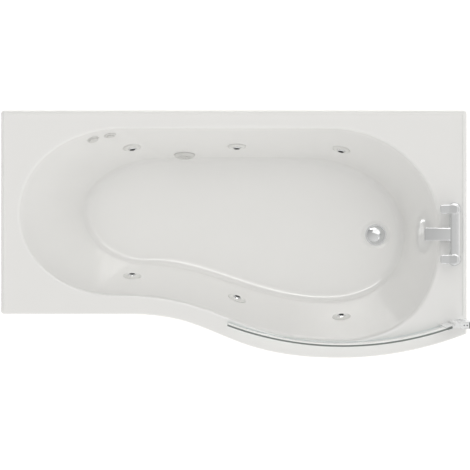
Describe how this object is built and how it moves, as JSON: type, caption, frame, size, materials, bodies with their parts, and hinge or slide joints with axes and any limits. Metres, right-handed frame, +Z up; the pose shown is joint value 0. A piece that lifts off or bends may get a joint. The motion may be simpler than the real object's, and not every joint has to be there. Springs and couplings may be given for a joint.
{
  "type": "jetted shower bath",
  "caption": "P-shaped jetted bath on levelling legs with jets, suction, pump and pipework, a two-lever deck filler, lifting waste plug and a curved hinged glass shower screen.",
  "frame": {"origin": "on the floor under the middle of the rim rectangle", "axes": "+X to the tap end, +Y to the wall along the bath's back, +Z up"},
  "size_m": [1.6, 0.85, 1.96],
  "materials": {
    "white_acrylic": "polished white sanitary acrylic on glass-fibre backing",
    "timber_board": "raw particle board and batten",
    "zinc_steel": "bright zinc plate",
    "black_plastic": "satin moulded plastic",
    "black_rubber": "matt rubber",
    "white_plastic": "gloss moulded plastic",
    "white_pvc": "extruded pipe",
    "clear_pvc": "clear extrusion",
    "grey_pp": "moulded polypropylene",
    "chrome": "bright chrome plate",
    "brass": "turned brass",
    "motor_paint": "grey stove enamel on cast aluminium",
    "rotor_steel": "ground steel",
    "anodised_aluminium": "bright anodised extrusion",
    "clear_glass": "clear toughened glass with ground edges"
  },
  "bodies": {
    "bath": {"bath_shell": "white_acrylic", "base_board": "timber_board", "rim_battens": "timber_board", "leg_rails": "zinc_steel", "pump_tray": "zinc_steel", "frame_screws": "zinc_steel", "foot_studs": "zinc_steel", "wall_brackets": "zinc_steel", "pump_foot": "zinc_steel", "foot_pads": "black_plastic", "switch_box": "black_plastic", "cable_gland": "black_plastic", "pump_volute": "black_plastic", "pump_cowl": "black_plastic", "wall_seals": "black_rubber", "pump_mounts": "black_rubber", "button_bellows": "black_rubber", "channel_strip": "black_rubber", "jet_bezels": "white_plastic", "suction_grille": "white_plastic", "suction_body": "white_plastic", "air_control_body": "white_plastic", "button_body": "white_plastic", "wall_nuts": "white_plastic", "jet_bodies": "white_plastic", "pivot_bush": "white_plastic", "jet_water_pipes": "white_pvc", "cross_water_pipe": "white_pvc", "suction_pipe": "white_pvc", "pump_unions": "white_pvc", "air_pipes": "clear_pvc", "waste_body": "grey_pp", "waste_trap": "grey_pp", "overflow_head": "grey_pp", "overflow_pipe": "grey_pp", "waste_flange": "chrome", "overflow_cover": "chrome", "tap_body": "chrome", "tap_base_rings": "chrome", "tap_cartridges": "chrome", "tap_shanks": "brass", "pump_motor": "motor_paint", "wall_channel": "anodised_aluminium", "hinge_profile": "anodised_aluminium"},
    "screen": {"glass_panel": "clear_glass", "glass_clamp": "anodised_aluminium", "screen_seals": "clear_pvc"},
    "hot_lever": {"hot_lever": "chrome"},
    "cold_lever": {"cold_lever": "chrome"},
    "waste_plug": {"waste_plug": "chrome"},
    "air_knob": {"air_control_knob": "white_plastic"},
    "button": {"button_cap": "white_plastic"},
    "pump_rotor": {"pump_rotor": "rotor_steel"},
    "back_left_jet": {"back_left_jet": "chrome"},
    "back_middle_jet": {"back_middle_jet": "chrome"},
    "back_right_jet": {"back_right_jet": "chrome"},
    "front_left_jet": {"front_left_jet": "chrome"},
    "front_middle_jet": {"front_middle_jet": "chrome"},
    "front_right_jet": {"front_right_jet": "chrome"}
  },
  "joints": [
    {"name": "screen_swing", "type": "hinge", "parent": "bath", "child": "screen", "pos_m": [0.747, -0.3043, 0.56], "axis": [0, 0, 1], "range_deg": [-30, 90]},
    {"name": "hot_lever_turn", "type": "hinge", "parent": "bath", "child": "hot_lever", "pos_m": [0.757, 0.086, 0.62], "axis": [0, 0, 1], "range_deg": [-90, 0]},
    {"name": "cold_lever_turn", "type": "hinge", "parent": "bath", "child": "cold_lever", "pos_m": [0.757, -0.086, 0.62], "axis": [0, 0, 1], "range_deg": [0, 90]},
    {"name": "waste_plug_lift", "type": "slide", "parent": "bath", "child": "waste_plug", "axis": [0, 0, 1], "range_m": [0, 0.012]},
    {"name": "air_control_turn", "type": "hinge", "parent": "bath", "child": "air_knob", "pos_m": [-0.484, 0.32741, 0.492], "axis": [0.2786, -0.8993, 0.3372], "range_deg": [0, 270]},
    {"name": "button_press", "type": "slide", "parent": "bath", "child": "button", "axis": [-0.15, 0.9423, -0.2992], "range_m": [0, 0.003], "stiffness_N_per_m": 400, "deforming": ["button_bellows"]},
    {"name": "pump_spin", "type": "hinge", "parent": "bath", "child": "pump_rotor", "pos_m": [-0.64, 0, 0.1235], "axis": [0, 1, 0], "continuous": true},
    {"name": "back_left_jet_aim", "type": "hinge", "parent": "bath", "child": "back_left_jet", "pos_m": [-0.35173, 0.30533, 0.32326], "axis": [0.9918, 0.1275, 0], "range_deg": [-15, 15]},
    {"name": "back_middle_jet_aim", "type": "hinge", "parent": "bath", "child": "back_middle_jet", "pos_m": [0.01, 0.30905, 0.3235], "axis": [1, 0, 0], "range_deg": [-15, 15]},
    {"name": "back_right_jet_aim", "type": "hinge", "parent": "bath", "child": "back_right_jet", "pos_m": [0.37224, 0.29827, 0.32328], "axis": [0.9763, -0.2164, 0], "range_deg": [-15, 15]},
    {"name": "front_left_jet_aim", "type": "hinge", "parent": "bath", "child": "front_left_jet", "pos_m": [-0.35115, -0.15105, 0.3234], "axis": [-0.9997, 0.0263, 0], "range_deg": [-15, 15]},
    {"name": "front_middle_jet_aim", "type": "hinge", "parent": "bath", "child": "front_middle_jet", "pos_m": [0.00806, -0.22781, 0.32328], "axis": [-0.9414, 0.3373, 0], "range_deg": [-15, 15]},
    {"name": "front_right_jet_aim", "type": "hinge", "parent": "bath", "child": "front_right_jet", "pos_m": [0.37139, -0.29109, 0.32305], "axis": [-0.9977, -0.0685, 0], "range_deg": [-15, 15]}
  ]
}
